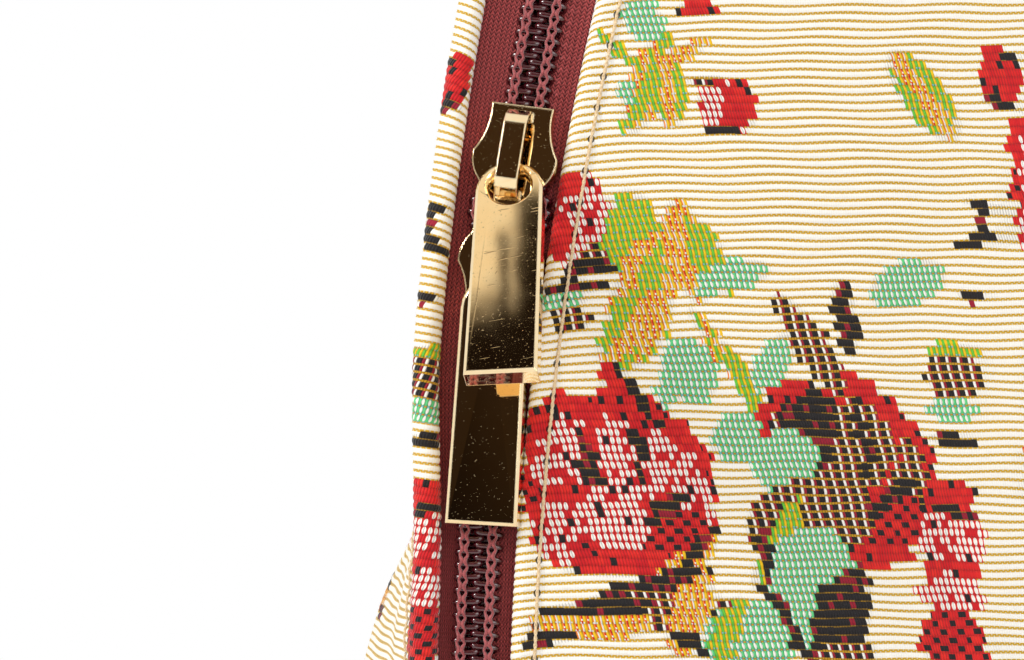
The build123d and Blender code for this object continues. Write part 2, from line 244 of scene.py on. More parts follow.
def height_to_t(side, height):
    """The contour value t on the left rim at a height under the end of the side arc."""
    low = side_radius + side.edge[0]
    low_lean = math.asin((flare_height - side_centre_z) / low)
    lean = np.arcsin(np.clip((height - side_centre_z) / low, -1, 1))
    on_arc = 1 + (lean - low_lean) / (side_lean_top - low_lean)
    a = base_thickness - 2 * flare_knee + flare_height
    b = 2 * (flare_knee - base_thickness)
    on_flare = (-b + np.sqrt(b * b - 4 * a * (base_thickness - height))) / (2 * a)
    return np.where(height < flare_height, on_flare, on_arc)


def fold_shift(side, height):
    """How far the rolled edge stands from its place. In the photograph the channel narrows downwards."""
    seen = smooth(height, 0.088, 0.098) * (1 - smooth(height, 0.186, 0.215))
    rise = (height - aim_height) / mm
    if side is front:
        gap = 5.0 + 0.0237 * rise + 0.00019 * rise**2
        return -(gap - 5.4) * mm * seen
    gap = 4.35 + 2.0 * smooth(height, 0.114, 0.144) + 0.016 * np.maximum(rise, 0)
    return (gap - 6.6) * mm * seen


def slack(side, x, z, run):
    """Soft waves of the cloth, outwards from the panel, that fade out at the rim."""
    free = smooth(run, 0.012, 0.060)
    phase = 1.7 if side is front else 0.4
    slow = 0.9 * np.sin(x * 31 + z * 17 + phase) + 0.7 * np.sin(z * 43 - x * 12 + 2 * phase)
    quick = 0.35 * np.sin(x * 83 - z * 61 + 3 * phase) * smooth(run, 0.03, 0.09)
    low = 1.6 * np.exp(-((z - 0.045) / 0.03) ** 2) * np.sin(x * 26 + phase)
    soft = (slow + quick + low) * free
    if side is back:
        left = 1 - smooth(x, -0.16, -0.06)
        tuck = 3.4 * smooth(run, 0.003, 0.018) * (1 - smooth(run, 0.06, 0.10)) * smooth(z, 0.104, 0.126)
        belly = 6.0 * smooth(run, 0.014, 0.050) * (1 - smooth(z, 0.090, 0.126))
        soft = soft * 0.6 + (belly - tuck) * left
    return soft * mm


def skin(side, t, run):
    """Points of a panel's outer side, and its cloth coordinates in millimetres. run is the distance from the
    fold: under 0 it goes round the roll and in behind it, past the face's edge it closes the flat face."""
    share = np.interp(run, side.run_table, side.share_table)
    face_x, face_z = contour(side, share, t)
    rim_x, rim_z = contour(side, 0.0 * share, t)
    ahead = contour(side, 0.0 * share, t + 1e-4)
    behind = contour(side, 0.0 * share, t - 1e-4)
    along = unit(np.stack([ahead[0] - behind[0], ahead[1] - behind[1]], -1))
    out_x = -along[..., 1]
    out_z = along[..., 0]

    # Round the roll and in behind it
    turned = np.clip(run, -side.under_run, side.edge_run)
    way = 1 if side.edge_angle > side.crest_angle else -1
    angle = side.crest_angle + way * turned / side.roll
    tail = np.maximum(-side.under_run - run, 0)
    b = side.seam[0] + side.roll * np.cos(angle) + side.sign * tail
    q = side.seam[1] + side.roll * np.sin(angle)
    out, y_roll = section_point(b, q)
    out = out - side.edge[0]
    rolled = run < side.edge_run
    y = np.where(rolled, y_roll, side.edge[1] + side.sign * half_depth * share)
    x = np.where(rolled, rim_x + out * out_x, face_x)
    z = np.where(rolled, rim_z + out * out_z, face_z)

    # Cloth coordinates, spread where the panel turns from its rim to its face
    inset = depth_reach * (1 - np.sqrt(1 - share))
    reach = run - side.edge_run
    within = np.minimum(reach, side.face_run - side.edge_run) - inset
    flat = inset + within * (1 - spread_share * (inset / spread_inset) ** 2)
    flat = np.where(rolled, reach, flat)
    u = face_x - out_x * (flat - np.where(rolled, 0, inset))
    v = face_z - out_z * (flat - np.where(rolled, 0, inset))

    # The flat face that closes the panel, and the rolled edge's own place
    closing = np.clip(1 - (run - side.face_run) / closing_run, 0, 1)
    x = x * closing
    z = base_thickness + (z - base_thickness) * closing
    u = u * closing
    v = base_thickness + (v - base_thickness) * closing
    y = y + side.sign * closing_bulge * smooth(1 - closing, 0, 0.7)
    shift = fold_shift(side, rim_z) * (1 - smooth(run, 0.003, 0.016)) * (t < 3)
    x = x + out_x * shift * math.sin(zip_turn)
    z = z + out_z * shift * math.sin(zip_turn)
    y = y + shift * math.cos(zip_turn)
    droop = hem_droop * np.exp(-np.maximum(run, 0) / hem_droop_reach) if side is front else 0.0
    cloth = np.stack([u / mm, (v + droop + cloth_lean * run) / mm, run / mm], -1)
    return np.stack([x, y, z], -1), cloth


def grid_normals(points):
    """Outward normals of a panel's grid of points."""
    along = np.gradient(points, axis=0)
    inward = np.gradient(points, axis=1)
    normals = unit(np.cross(inward, along))
    return normals * np.sign((normals * (points - np.array(wave_centre))).sum(-1).mean())


def panel_rows(side):
    """Values of t down a panel: close rows where the camera is, wide ones elsewhere."""
    dense = np.arange(near_low, near_high, near_row)
    low = np.linspace(base_thickness, near_low, 26)[:-1]
    high = np.linspace(near_high, side_centre_z + side_radius * 0.5, 14)[1:]
    left = height_to_t(side, np.concatenate([low, dense, high]))
    return np.concatenate([left[left < 1.99], np.linspace(2, 4, 110), np.linspace(4, 6, 60)[1:]])


def panel_columns(side):
    """Values of run across a panel, from behind the fold to the middle of its face."""
    hidden = np.linspace(-side.under_run - hidden_hem, 0, 8)
    roll = np.linspace(0, side.edge_run, 6 if side is front else 12)[1:]
    near = np.arange(side.edge_run, near_run, 0.85 * mm if side is front else 3 * mm)[1:]
    far = np.linspace(near_run, side.face_run, 24)
    face = side.face_run + np.linspace(0, closing_run, 12)[1:]
    return np.concatenate([hidden, roll, near, far, face])


# Meshes
def link(name, data):
    """A new object in the scene."""
    made = bpy.data.objects.new(name, data)
    bpy.context.scene.collection.objects.link(made)
    return made


def stand(thing, location, turned):
    """Puts a camera, lamp or card in its place, turned by a quaternion."""
    thing.location = location
    thing.rotation_mode = "QUATERNION"
    thing.rotation_quaternion = turned


def new_mesh(name, points, quads, material, turned=False):
    """A smooth mesh piece made from points and four-cornered faces, which turned makes face the other way."""
    points = np.asarray(points, float).reshape(-1, 3)
    quads = np.asarray(quads, int).reshape(-1, 4)
    quads = quads[:, ::-1] if turned else quads
    mesh = bpy.data.meshes.new(name)
    mesh.vertices.add(len(points))
    mesh.vertices.foreach_set("co", points.ravel())
    mesh.loops.add(quads.size)
    mesh.loops.foreach_set("vertex_index", quads.ravel())
    mesh.polygons.add(len(quads))
    mesh.polygons.foreach_set("loop_start", np.arange(0, quads.size, 4))
    mesh.polygons.foreach_set("use_smooth", np.ones(len(quads), bool))
    mesh.update(calc_edges=True)
    mesh.validate()
    mesh.materials.append(material)
    piece = link(name, mesh)
    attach(piece, "root")
    return piece


def grid_quads(rows, columns, start=0, wrap=False):
    """Faces of a grid of points, row by row. wrap joins the last column to the first."""
    index = start + np.arange(rows * columns).reshape(rows, columns)
    right = np.roll(index, -1, axis=1)
    quads = np.stack([index[:-1], right[:-1], right[1:], index[1:]], -1)
    return (quads if wrap else quads[:, :-1]).reshape(-1, 4)


def tube_points(path, across, radius, sides):
    """Rings of points round a path. across is a direction that no stretch of the path follows."""
    forward = unit(np.gradient(path, axis=0))
    side_way = unit(np.cross(forward, across))
    up_way = np.cross(side_way, forward)
    turn = np.linspace(0, 2 * math.pi, sides, endpoint=False)
    ring = side_way[:, None] * np.cos(turn)[:, None] + up_way[:, None] * np.sin(turn)[:, None]
    radius = np.broadcast_to(radius, len(path))
    return path[:, None] + ring * radius[:, None, None]


def tubes(name, parts, material):
    """One piece made of several tubes, each given as its rings of points, with its ends drawn shut."""
    points = []
    quads = []
    start = 0
    for rings in parts:
        first, last = [np.broadcast_to(ring.mean(0), ring.shape) for ring in (rings[0], rings[-1])]
        closed = np.concatenate([first[None], rings, last[None]])
        count, sides = closed.shape[:2]
        points.append(closed.reshape(-1, 3))
        quads.append(grid_quads(count, sides, start, wrap=True))
        start += count * sides
    return new_mesh(name, np.concatenate(points), np.concatenate(quads), material)


def set_attribute(piece, name, values):
    """Keeps three numbers for each point of a piece, for its material to read."""
    attribute = piece.data.attributes.new(name, "FLOAT_VECTOR", "POINT")
    attribute.data.foreach_set("vector", np.asarray(values, float).ravel())


def lay_cloth(piece, u, v):
    """Cloth coordinates for a small piece that has no line of stitches of its own."""
    set_attribute(piece, "cloth", np.stack([u, v, 0 * u], -1))
    set_attribute(piece, "seam", np.stack([0 * u, 0 * u + 99, relief(u, v)], -1))


# Materials are written as sums of terms, where each term is one output of a node
def math_method(operation, *settings):
    return lambda self, *others: self.math(operation, *others, *settings)


class Term:
    def __init__(self, tree, socket):
        self.tree = tree
        self.socket = socket

    def node(self, kind, inputs, output=0, **settings):
        """A new node with these inputs and settings, as the term of one of its outputs."""
        made = self.tree.nodes.new(kind)
        for key, value in settings.items():
            setattr(made, key, value)
        for key, value in inputs.items():
            if isinstance(value, Term):
                self.tree.links.new(value.socket, made.inputs[key])
            else:
                made.inputs[key].default_value = value
        return Term(self.tree, made.outputs[output])

    def math(self, operation, *others):
        return self.node("ShaderNodeMath", dict(enumerate((self, *others))), operation=operation)

    __add__ = __radd__ = math_method("ADD")
    __sub__ = math_method("SUBTRACT")
    __mul__ = __rmul__ = math_method("MULTIPLY")
    __truediv__ = math_method("DIVIDE")
    above = math_method("GREATER_THAN")
    below = math_method("LESS_THAN")
    most = math_method("MINIMUM")
    floor = math_method("FLOOR")
    part = math_method("FRACT")
    wrap = math_method("WRAP", 0.0)
    size = math_method("ABSOLUTE")
    sin = math_method("SINE")

    def __rsub__(self, other):
        return (self - other) * -1.0

    def square(self):
        return self * self

    def odd(self):
        """1 for an odd whole number and 0 for an even one."""
        return self.math("MODULO", 2.0).size()

    def dot(self, row):
        """The sum of this vector's parts, each times its number in row."""
        return self.node("ShaderNodeVectorMath", {0: self, 1: row}, "Value", operation="DOT_PRODUCT")

    def step(self, low, high):
        """0 below low and 1 above high, with a smooth step between them."""
        inputs = {"Value": self, "From Min": low, "From Max": high}
        return self.node("ShaderNodeMapRange", inputs, "Result", interpolation_type="SMOOTHSTEP")

    def choose(self, off, on):
        """A number that goes from off to on as this term goes from 0 to 1."""
        return self.node("ShaderNodeMix", {0: self, 2: off, 3: on}, data_type="FLOAT")

    def paint(self, off, on):
        """A colour that goes from off to on as this term goes from 0 to 1."""
        return self.node("ShaderNodeMix", {0: self, 6: off, 7: on}, 2, data_type="RGBA")

    def scale(self, vector):
        """A vector, or a colour without its alpha, times this term."""
        return self.node("ShaderNodeVectorMath", {0: vector, "Scale": self}, operation="SCALE")

    def with_(self, y, z=0.0):
        """This term, y and z as one vector."""
        return self.node("ShaderNodeCombineXYZ", {0: self, 1: y, 2: z})

    def split(self):
        """The three parts of this vector."""
        first = self.node("ShaderNodeSeparateXYZ", {0: self})
        return [Term(self.tree, output) for output in first.socket.node.outputs]

    def noise(self, scale, detail=2.0):
        """Smooth noise from 0 to 1 at this vector."""
        return self.node("ShaderNodeTexNoise", {"Vector": self, "Scale": scale, "Detail": detail})

    def chance(self):
        """A number from 0 to 1 that is drawn anew for each value of this vector."""
        return self.node("ShaderNodeTexWhiteNoise", {"Vector": self}, "Value", noise_dimensions="3D")


def coordinates(tree, kind):
    return Term(tree, tree.nodes.new("ShaderNodeTexCoord").outputs[kind])


class Material:
    """A new material with one Principled shader and the terms that its pieces give it."""

    def __init__(self, name, roughness=0.5, **sockets):
        self.material = bpy.data.materials.new(name)
        self.material.use_nodes = True
        self.tree = self.material.node_tree
        self.shader = self.tree.nodes["Principled BSDF"]
        self.shader.inputs["Roughness"].default_value = roughness
        for key, value in sockets.items():
            self.shader.inputs[key.replace("_", " ")].default_value = value

    def attribute(self, name):
        made = self.tree.nodes.new("ShaderNodeAttribute")
        made.attribute_name = name
        return Term(self.tree, made.outputs["Vector"])

    def place(self):
        """The point's own place on its piece, in millimetres."""
        metres = coordinates(self.tree, "Object")
        return metres.node("ShaderNodeVectorMath", {0: metres, "Scale": 1000.0}, operation="SCALE")

    def finish(self, colour=None, height=None, roughness=None, strength=1.0, edge=None):
        """Joins the terms to the shader. height is in millimetres, edge a normal that it starts from."""
        join = self.tree.links.new
        if colour is not None:
            join(colour.socket, self.shader.inputs["Base Color"])
        if roughness is not None:
            join(roughness.socket, self.shader.inputs["Roughness"])
        if height is not None:
            bump = self.tree.nodes.new("ShaderNodeBump")
            bump.inputs["Distance"].default_value = mm
            bump.inputs["Strength"].default_value = strength
            join(height.socket, bump.inputs["Height"])
            join(bump.outputs[0], self.shader.inputs["Normal"])
            if edge is not None:
                join(edge, bump.inputs["Normal"])
        return self.material


# Cloth colours
cream = rgb(246, 242, 234)
gold_yarn = rgb(214, 160, 24)
pale_yarn = rgb(228, 216, 184)
red = rgb(204, 16, 28)
bright_red = rgb(232, 40, 32)
black = rgb(30, 26, 28)
mint = rgb(96, 206, 132)
light_blue = rgb(140, 200, 216)
leaf_green = rgb(104, 196, 60)
yellow = rgb(240, 192, 16)
orange = rgb(238, 132, 40)
maroon_red = rgb(150, 20, 44)

# Kinds of weave
GROUND, MINT, LEAF, ORANGE, RED, STRIPES, BRICK, ROWS, DARK = range(9)

# The woven design: its repeat in millimetres, and how the cloth lies against the view at the bag's left end
repeat_across = 84.0
repeat_up = 92.0
repeat_start = -8.0
drop_share = 0.45
design_u = 219.9
design_v = -104.2
back_cut = 60.5
drawing_slant = -0.053
drawing_rise = 0.057
drawing_scale = 8.6
yarn_slant = 0.21


class Design:
    """The woven flowers, drawn cell by cell over the ground: each motif sets the kind of weave inside it.
    Places, sizes and turns are in the photograph's pixels and degrees, as the cloth lies in the view."""

    def __init__(self, point=None):
        self.point = point
        self.kind = 0.0
        self.rows = []

    def local(self, across, down, length, width, turn):
        """Two rows of numbers that take a point of the cloth to the motif's own coordinates, from -1 to 1."""
        middle_x = (across - frame_width_px / 2) / drawing_scale
        middle_y = (frame_height_px - down) / drawing_scale
        cosine = math.cos(math.radians(turn))
        sine = math.sin(math.radians(turn))
        found = []
        for dx, dy, size in ((cosine, sine, length), (-sine, cosine, width)):
            half = size / 2 / drawing_scale
            right = (dx + drawing_rise * dy) / half
            up = (dy + drawing_slant * dx) / half
            found.append((right, up, -(dx * middle_x + dy * middle_y) / half))
        self.rows.append(found)
        return found

    def put(self, mask, kind):
        self.kind = mask.choose(self.kind, kind)

    def oval(self, across, down, length, width, turn, kind):
        rows = self.local(across, down, length, width, turn)
        if self.point:
            a, b = [self.point.dot(row) for row in rows]
            self.put(a.math("MULTIPLY_ADD", a, b.square()).below(1.0), kind)

    def leaf(self, across, down, length, width, turn, kind, vein=None):
        """A pointed leaf, with the weave of its vein down the middle."""
        rows = self.local(across, down, length, width, turn)
        if self.point:
            a, b = [self.point.dot(row) for row in rows]
            far = b.size()
            inside = a.math("MULTIPLY_ADD", a, far).below(1.0)
            self.put(inside, kind)
            if vein is not None:
                self.put(inside * far.below(0.34), vein)

    def petal(self, across, down, length, width, turn, kind=STRIPES):
        """A curled petal: a solid red edge round a striped inside, open towards its low side."""
        self.oval(across, down, length, width, turn, RED)
        shift = 0.10 * width
        lower_x = across + shift * math.sin(math.radians(turn))
        lower_y = down + shift * math.cos(math.radians(turn))
        self.oval(lower_x, lower_y, length * 0.84, width * 0.76, turn, kind)


def draw_rose(design, across, down, size, inside=STRIPES):
    """A half-open rose of curled petals, with dark folds between them."""
    oval, leaf, petal = design.oval, design.leaf, design.petal
    oval(across, down, 190 * size, 176 * size, -20, BRICK)
    petal(across - 52 * size, down - 34 * size, 86 * size, 112 * size, 8, inside)
    petal(across + 62 * size, down - 4 * size, 56 * size, 142 * size, 20, inside)
    petal(across + 8 * size, down - 40 * size, 92 * size, 118 * size, 16, inside)
    leaf(across + 14 * size, down - 40 * size, 84 * size, 13 * size, 100, DARK)
    leaf(across - 30 * size, down - 18 * size, 66 * size, 15 * size, 118, DARK)
    petal(across - 52 * size, down + 40 * size, 70 * size, 84 * size, -12, inside)
    oval(across + 26 * size, down + 52 * size, 132 * size, 64 * size, 16, BRICK)
    oval(across - 6 * size, down + 34 * size, 62 * size, 76 * size, 30, inside)
    leaf(across + 10 * size, down + 78 * size, 140 * size, 26 * size, 4, RED)
    leaf(across + 46 * size, down + 20 * size, 70 * size, 18 * size, 40, DARK)


def draw_design(design):
    """The flowers of one repeat."""
    oval, leaf = design.oval, design.leaf
    # Buds and leaves at the top
    leaf(648, 78, 116, 44, 66, ORANGE, LEAF)
    leaf(668, 84, 82, 40, 96, LEAF, ORANGE)
    leaf(690, 46, 60, 16, 28, ORANGE)
    oval(642, 14, 50, 40, -20, MINT)
    leaf(620, 48, 74, 12, -42, LEAF)
    oval(706, 2, 50, 16, 0, RED)
    oval(712, 74, 46, 12, 4, ROWS)
    oval(730, 100, 64, 52, -26, STRIPES)
    oval(742, 96, 36, 50, 0, RED)
    leaf(728, 122, 42, 9, 6, DARK)
    oval(622, 88, 18, 22, 0, MINT)
    # The cluster in the middle
    oval(570, 215, 74, 96, 8, STRIPES)
    oval(556, 182, 44, 30, 0, RED)
    oval(552, 232, 36, 44, 0, RED)
    leaf(604, 252, 82, 30, 8, ROWS)
    leaf(592, 262, 66, 15, 12, DARK)
    leaf(566, 284, 66, 17, 2, DARK)
    leaf(556, 296, 56, 15, 0, MINT)
    oval(566, 316, 40, 26, 0, ROWS)
    leaf(628, 232, 96, 62, 96, LEAF)
    leaf(648, 268, 146, 58, 54, ORANGE, LEAF)
    leaf(684, 244, 108, 46, 104, ORANGE)
    leaf(706, 248, 86, 34, 118, LEAF)
    leaf(628, 326, 104, 56, 56, LEAF, ORANGE)
    leaf(650, 316, 92, 22, 66, ORANGE)
    leaf(728, 266, 86, 30, 14, MINT)
    leaf(704, 282, 44, 14, 30, MINT)
    leaf(712, 336, 96, 17, -52, ORANGE, LEAF)
    leaf(744, 376, 88, 20, -64, LEAF)
    oval(684, 362, 58, 66, 20, MINT)
    leaf(660, 384, 40, 20, 80, MINT)
    oval(734, 424, 64, 48, 24, MINT)
    # The big rose and its sepals
    draw_rose(design, 614, 478, 1.0)
    leaf(620, 396, 88, 34, 122, RED)
    leaf(632, 390, 76, 10, 128, DARK)
    leaf(668, 560, 116, 30, 40, ORANGE)
    leaf(694, 532, 66, 15, 50, DARK)
    leaf(640, 580, 150, 30, 22, DARK)
    leaf(650, 600, 150, 44, 10, ROWS)
    leaf(590, 616, 130, 34, 4, ORANGE)
    leaf(598, 600, 120, 16, 6, DARK)
    leaf(684, 600, 96, 44, 72, ORANGE)
    leaf(712, 638, 130, 20, -20, DARK)
    leaf(548, 632, 60, 16, 8, DARK)
    # The dark rose and its leaves at the right
    draw_rose(design, 850, 452, 1.0, ROWS)
    leaf(812, 330, 128, 34, -52, ROWS)
    leaf(848, 300, 80, 26, 100, DARK)
    oval(808, 404, 74, 54, 40, DARK)
    leaf(770, 350, 70, 34, 60, MINT)
    oval(784, 446, 70, 66, 20, MINT)
    oval(790, 500, 104, 70, 24, ROWS)
    leaf(776, 524, 110, 30, 62, LEAF)
    leaf(764, 546, 90, 18, 100, DARK)
    oval(810, 566, 96, 124, 0, MINT)
    leaf(790, 610, 130, 18, -56, DARK)
    oval(744, 622, 92, 80, 10, MINT)
    leaf(722, 616, 80, 28, 70, LEAF)
    leaf(842, 590, 110, 60, 70, DARK)
    leaf(838, 640, 90, 46, 30, ROWS)
    # The rest of the repeat
    draw_rose(design, 1110, 160, 0.85)
    leaf(940, 76, 110, 50, 130, LEAF, ORANGE)
    leaf(1075, 320, 130, 52, 70, ORANGE, LEAF)
    leaf(915, 262, 90, 44, 20, MINT)
    leaf(1090, 450, 130, 54, -30, LEAF, ORANGE)
    # The strip that shows on the back panel's roll
    oval(1024, 52, 46, 60, 10, RED)
    leaf(1030, 32, 30, 10, -20, DARK)
    leaf(1020, 79, 40, 10, -10, DARK)
    leaf(995, 182, 34, 11, -24, DARK)
    leaf(998, 200, 30, 10, 60, DARK)
    leaf(990, 216, 40, 12, 16, DARK)
    leaf(985, 270, 36, 12, -10, DARK)
    oval(968, 326, 60, 18, 0, LEAF)
    oval(966, 350, 64, 44, 0, ROWS)
    oval(963, 382, 60, 20, 0, MINT)
    leaf(962, 411, 60, 12, 0, DARK)
    oval(960, 506, 70, 90, 0, STRIPES)
    oval(956, 466, 60, 32, 0, RED)
    leaf(962, 480, 60, 14, -14, DARK)
    oval(960, 538, 66, 20, 0, RED)
    oval(960, 562, 70, 40, 0, STRIPES)
    oval(962, 608, 72, 62, 0, BRICK)
    return design.kind


def relief(u, v):
    """How far the raised weave of the flowers reaches over the cloth, from 0 on the plain ground."""
    design = Design()
    draw_design(design)
    up = v + design_v - repeat_start
    half_drop = np.floor(up / repeat_up) % 2 * (repeat_across * drop_share)
    x = (u + design_u + half_drop + 4.0) % repeat_across - 4.0
    y = up % repeat_up + repeat_start
    raised = np.zeros_like(x)
    for across, along in design.rows:
        a = across[0] * x + across[1] * y + across[2]
        b = along[0] * x + along[1] * y + along[2]
        raised = np.maximum(raised, 1 - smooth(np.hypot(a, b), 0.9, 1.1))
    return raised


def cloth_material(name):
    """Ribbed jacquard: thick cream ribs with rows of gold between them, and flowers woven over both."""
    m = Material(name, roughness=0.72, Sheen_Weight=0.2, Sheen_Roughness=0.4)
    m.shader.inputs["Specular IOR Level"].default_value = 0.3
    u0, v0 = m.attribute("cloth").split()[:2]
    seam, beside, woven = m.attribute("seam").split()
    u = u0 + ((v0 * 1.3 + (u0 * 0.31).sin() * 2.0).sin() * 0.07)
    v = v0 + ((u0 * 0.47 + (v0 * 0.23).sin() * 2.5).sin() * 0.09)
    row = (v / rib_pitch).floor()
    fv = (v / rib_pitch).part()
    yarn_u = (u + v * yarn_slant) / (2 * yarn_pitch)
    pair = yarn_u.floor()
    fp = yarn_u.part()
    odd = fp.above(0.5)
    fu = (fp * 2.0).part()
    draw = pair.with_(row).chance()

    # Relief, the same over all flowers
    middle = (fv - 0.5).size()
    hill = 1.0 - (middle * 2.0).square()
    hump = (fu * math.pi).sin()
    rib = middle.step(0.35, 0.27)
    thread = (u * (math.pi / 0.29)).sin().size()
    gap = (u * (1 / 0.62) + row * 0.5).part().below(0.74)
    ground_up = hill * 0.10 + thread * 0.02 + gap * (1.0 - rib) * 0.05
    woven_up = hump * 0.10 + hill * 0.07 + draw * 0.03
    fibre = u.with_(v).noise(8.0, 1.0)
    height = woven.choose(ground_up, woven_up) + fibre * 0.04

    # The kind of weave in each cell
    cell_v = (row + 0.5) * rib_pitch
    cell_u = (pair + 0.5) * (2 * yarn_pitch) - cell_v * yarn_slant
    up = cell_v + (design_v - repeat_start)
    half_drop = (up / repeat_up).floor().odd() * (repeat_across * drop_share)
    ragged = row.with_(7.0).chance() * 1.2
    x = (cell_u + half_drop + ragged + (design_u + 3.4)).wrap(repeat_across) - 4.0
    kind = draw_design(Design(x.with_(up.wrap(repeat_up) + repeat_start, 1.0)))

    gold_row = gap.paint(pale_yarn, (fibre * 1.6 - 0.3).paint(gold_yarn, yellow))
    # Painted shade: the cream of the ribs is a little darker in the grooves between the threads
    colour = rib.paint(gold_row, (thread * 0.07 + 0.93).scale(cream[:3]))

    seed = ((fp - 0.32) / 0.26).square() + ((fv - 0.52) / 0.36).square()
    between = odd.paint(light_blue, gold_yarn)
    mint_weave = seed.below(1.0).paint(middle.above(0.40).paint(mint, between), cream)

    knot = (fv - 0.12).size().below(0.10) * (row + pair).odd() * fu.below(0.55)
    leaf = knot.paint(odd.paint(leaf_green, yellow), light_blue)

    red_or_cream = (draw.above(0.45) * middle.above(0.12)).paint(cream, bright_red)
    flame = odd.paint(fu.above(0.48).paint(orange, red_or_cream), yellow)
    flame = knot.paint(flame, cream)

    blot = draw.paint(red, bright_red)
    block = draw.above(0.93).paint(blot, black)

    bead = (((fp - 0.5) / 0.34).square() + ((fv - 0.5) / 0.47).square()).below(1.0)
    stripes = (bead * draw.above(0.16)).paint(draw.above(0.05).paint(black, blot), cream)

    long_dash = ((yarn_u + row * 1.1 + draw * 0.4) / 3.0).part().below(0.40)
    brick = (long_dash * middle.below(0.34)).paint(blot, black)

    third = (pair / 2.0).part().below(0.3)
    row_colour = third.paint(odd.paint(cream, maroon_red), black)
    rows = middle.above(0.36).paint(row_colour, gold_yarn)

    dark = (draw.above(0.80) * middle.below(0.4)).paint(black, maroon_red)
    dark = middle.above(0.42).paint(dark, (draw * 0.8).paint(black, gold_yarn))

    weaves = (mint_weave, leaf, flame, block, stripes, brick, rows, dark)
    for number, weave in enumerate(weaves, 1):
        colour = kind.math("COMPARE", float(number), 0.5).paint(colour, weave)
    hole = ((seam / stitch_pitch_mm + 0.5).part() - 0.5) * (stitch_pitch_mm / 0.48)
    in_hole = (hole.square() + (beside / 0.42).square()).below(1.0)
    # Painted shade: the colour is darker down the sides of each rib and yarn, away from their tops, and
    # darkest in the needle holes beside the fold
    painted_shade = woven.choose(hill * 0.40 + 0.70, hump * 0.40 + hill * 0.25 + 0.42).most(1.0)
    painted_shade = painted_shade * (1.0 - in_hole * 0.88)
    return m.finish((painted_shade * (fibre * 0.20 + 0.90)).scale(colour), height, strength=0.9)


def tape_material():
    """Fine maroon tape with the slanting look of a knitted weave."""
    m = Material("zip_tape", roughness=0.6, Sheen_Weight=0.35, Sheen_Roughness=0.35)
    m.shader.inputs["Sheen Tint"].default_value = rgb(220, 120, 120)
    along, across = m.attribute("weave").split()[:2]
    wobble = along.with_(across).noise(1.1, 1.0) - 0.5
    wale = across / 0.56 + wobble * 0.25
    lean = ((wale.part() - 0.5).size() - 0.25) * 1.7
    stitch = along / 0.52 + lean + wobble * 0.5
    loop = (stitch * math.pi).sin().size()
    groove = (wale * math.pi).sin().size()
    height = loop * 0.12 + groove * 0.08
    fibre = along.with_(across).noise(7.0, 1.0)
    # Painted highlight and shade: the tape's colour follows the weave's height, light on the tops of the
    # loops and dark in the grooves
    colour = (height * 5.5 + fibre * 0.25 - 0.22).most(1.0).paint(rgb(60, 9, 16), rgb(190, 76, 76))
    return m.finish(colour, height + fibre * 0.02)


def coil_material():
    """Glossy dark maroon nylon."""
    m = Material("zip_coil", roughness=0.12, Coat_Weight=0.5, Coat_Roughness=0.06)
    m.shader.inputs["Specular IOR Level"].default_value = 0.7
    streak = m.place().noise(1.4, 3.0)
    colour = streak.paint(rgb(40, 6, 12), rgb(82, 14, 24))
    return m.finish(colour, streak * 0.02, streak * 0.10 + 0.05)


def thread_material(name, dark_colour, light_colour, twist):
    """Spun thread: fibres wound along it."""
    m = Material(name, roughness=0.62, Sheen_Weight=0.4)
    place = m.place()
    fibre = place.noise(twist, 3.0)
    colour = (fibre * 1.6 - 0.3).paint(dark_colour, light_colour)
    return m.finish(colour, fibre * 0.06)


def gold_material(name, rounding):
    """Polished pale gold plating with a few fine pits and scratches, its edges rounded by this many mm."""
    m = Material(name, roughness=0.05, Metallic=1.0)
    place = m.place()
    x, y, z = place.split()
    pits = place.noise(4.5, 1.0).step(0.70, 0.78)
    scratch_way = (x * 0.9 + y * 0.7 + z * 0.16).with_(z * 0.05, y * 0.08)
    scratch = scratch_way.noise(4.0, 1.0).step(0.70, 0.76)
    cloud = place.noise(0.35, 2.0)
    colour = cloud.paint(rgb(244, 214, 164), rgb(250, 230, 190))
    roughness = cloud * 0.03 + pits * 0.10 + scratch * 0.05 + 0.02
    bevel = m.tree.nodes.new("ShaderNodeBevel")
    bevel.samples = 4
    bevel.inputs["Radius"].default_value = rounding * mm
    return m.finish(colour, pits * -0.004 + scratch * -0.001, roughness, edge=bevel.outputs[0])


def leather_material():
    """Grained maroon leathercloth."""
    m = Material("handle", roughness=0.42, Coat_Weight=0.15, Coat_Roughness=0.35)
    place = m.place()
    inputs = {"Vector": place, "Scale": 1.1}
    cells = place.node("ShaderNodeTexVoronoi", inputs, "Distance", feature="DISTANCE_TO_EDGE")
    grain = cells.step(0.0, 0.30)
    wear = place.noise(0.06, 3.0)
    colour = (grain * 0.5 + wear * 0.6).paint(rgb(70, 12, 20), rgb(124, 32, 40))
    return m.finish(colour, grain * 0.10 + place.noise(3.0, 2.0) * 0.03, wear * 0.25 + 0.32)


def board_material():
    """Dull brown board."""
    m = Material("board", roughness=0.85)
    fibre = m.place().noise(0.5, 4.0)
    return m.finish(fibre.paint(rgb(96, 76, 58), rgb(140, 114, 88)), fibre * 0.1)


def seen_directly(tree):
    """1 for the camera's own rays and for reflections, and 0 for the light that falls on things."""
    path = tree.nodes.new("ShaderNodeLightPath").outputs
    rays = ("Camera", "Glossy", "Transmission")
    camera, glossy, through = [Term(tree, path[f"Is {kind} Ray"]) for kind in rays]
    return (camera + glossy + through).most(1.0)


